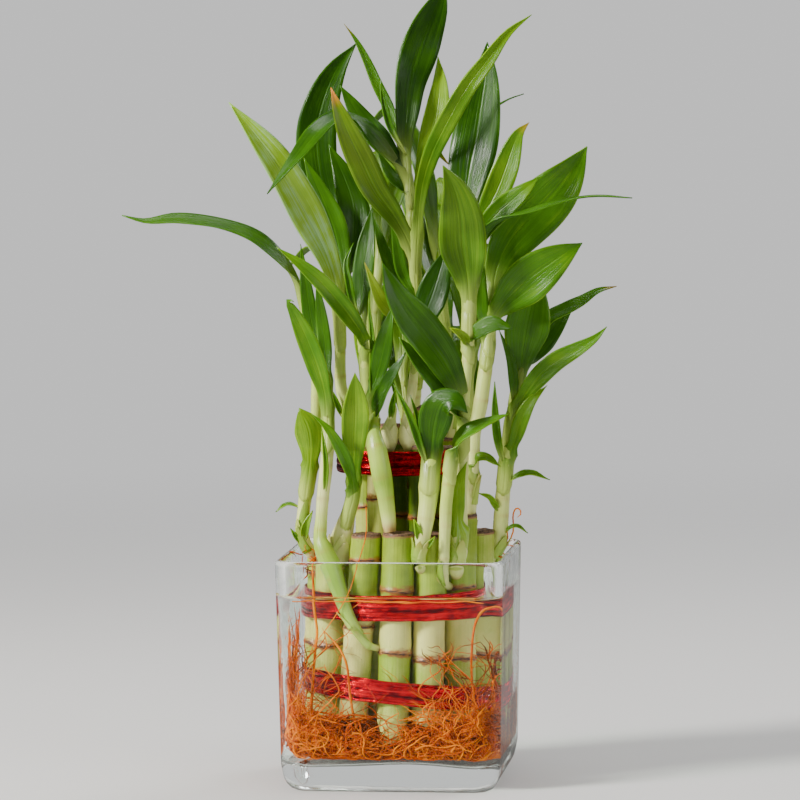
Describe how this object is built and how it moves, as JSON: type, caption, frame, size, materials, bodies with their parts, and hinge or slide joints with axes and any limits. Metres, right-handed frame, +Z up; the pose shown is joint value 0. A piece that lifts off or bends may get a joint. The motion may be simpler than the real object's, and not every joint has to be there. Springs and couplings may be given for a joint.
{
  "type": "lucky bamboo in glass vase",
  "caption": "Tiered bundle of lucky bamboo canes tied with red foil ribbon, with leafy shoots, rooted in water in a square glass vase.",
  "frame": {"origin": "middle of the vase's underside", "axes": "+Z up along the canes, +Y towards the back of the vase as seen in the picture, +X to the right"},
  "size_m": [0.2231, 0.1664, 0.353],
  "materials": {
    "vase_glass": "clear, thick, slightly green-grey, with a solid wavy bottom",
    "water": "clear still water",
    "root": "matte orange-brown fine roots",
    "ribbon_foil": "crinkled metallic red foil",
    "cane_pale": "satin yellow-green skin with brown joint rings",
    "cane_green": "satin deep green skin with pale rings",
    "shoot_green": "glossy green leaf on a pale satin stem"
  },
  "bodies": {
    "root": {"cane_inner_01": "cane_green", "cane_inner_02": "cane_green", "cane_inner_03": "cane_green", "cane_inner_04": "cane_green", "cane_inner_05": "cane_green", "cane_inner_06": "cane_green", "cane_inner_07": "cane_green", "cane_middle_01": "cane_green", "cane_middle_02": "cane_green", "cane_middle_03": "cane_green", "cane_middle_04": "cane_green", "cane_middle_05": "cane_green", "cane_outer_01": "cane_pale", "cane_outer_02": "cane_pale", "cane_outer_03": "cane_pale", "cane_outer_04": "cane_pale", "cane_outer_05": "cane_pale", "cane_outer_06": "cane_pale", "cane_outer_07": "cane_pale", "cane_outer_08": "cane_pale", "cane_outer_09": "cane_pale", "cane_outer_10": "cane_pale", "cane_outer_11": "cane_pale", "cane_outer_12": "cane_pale", "cane_outer_13": "cane_pale", "cane_outer_14": "cane_pale", "ribbon_inner": "ribbon_foil", "ribbon_lower": "ribbon_foil", "ribbon_upper": "ribbon_foil", "root_mass": "root", "shoot_back_01": "shoot_green", "shoot_back_02": "shoot_green", "shoot_back_03": "shoot_green", "shoot_back_04": "shoot_green", "shoot_back_05": "shoot_green", "shoot_back_06": "shoot_green", "shoot_bud_left": "shoot_green", "shoot_bud_right": "shoot_green", "shoot_centre": "shoot_green", "shoot_far_left": "shoot_green", "shoot_far_right": "shoot_green", "shoot_front_left": "shoot_green", "shoot_front_middle": "shoot_green", "shoot_front_right": "shoot_green", "shoot_left_bulb": "shoot_green", "shoot_left_dipping": "shoot_green", "shoot_left_inner": "shoot_green", "shoot_left_tall": "shoot_green", "shoot_right_tall": "shoot_green", "vase": "vase_glass", "water": "water"}
  },
  "joints": []
}
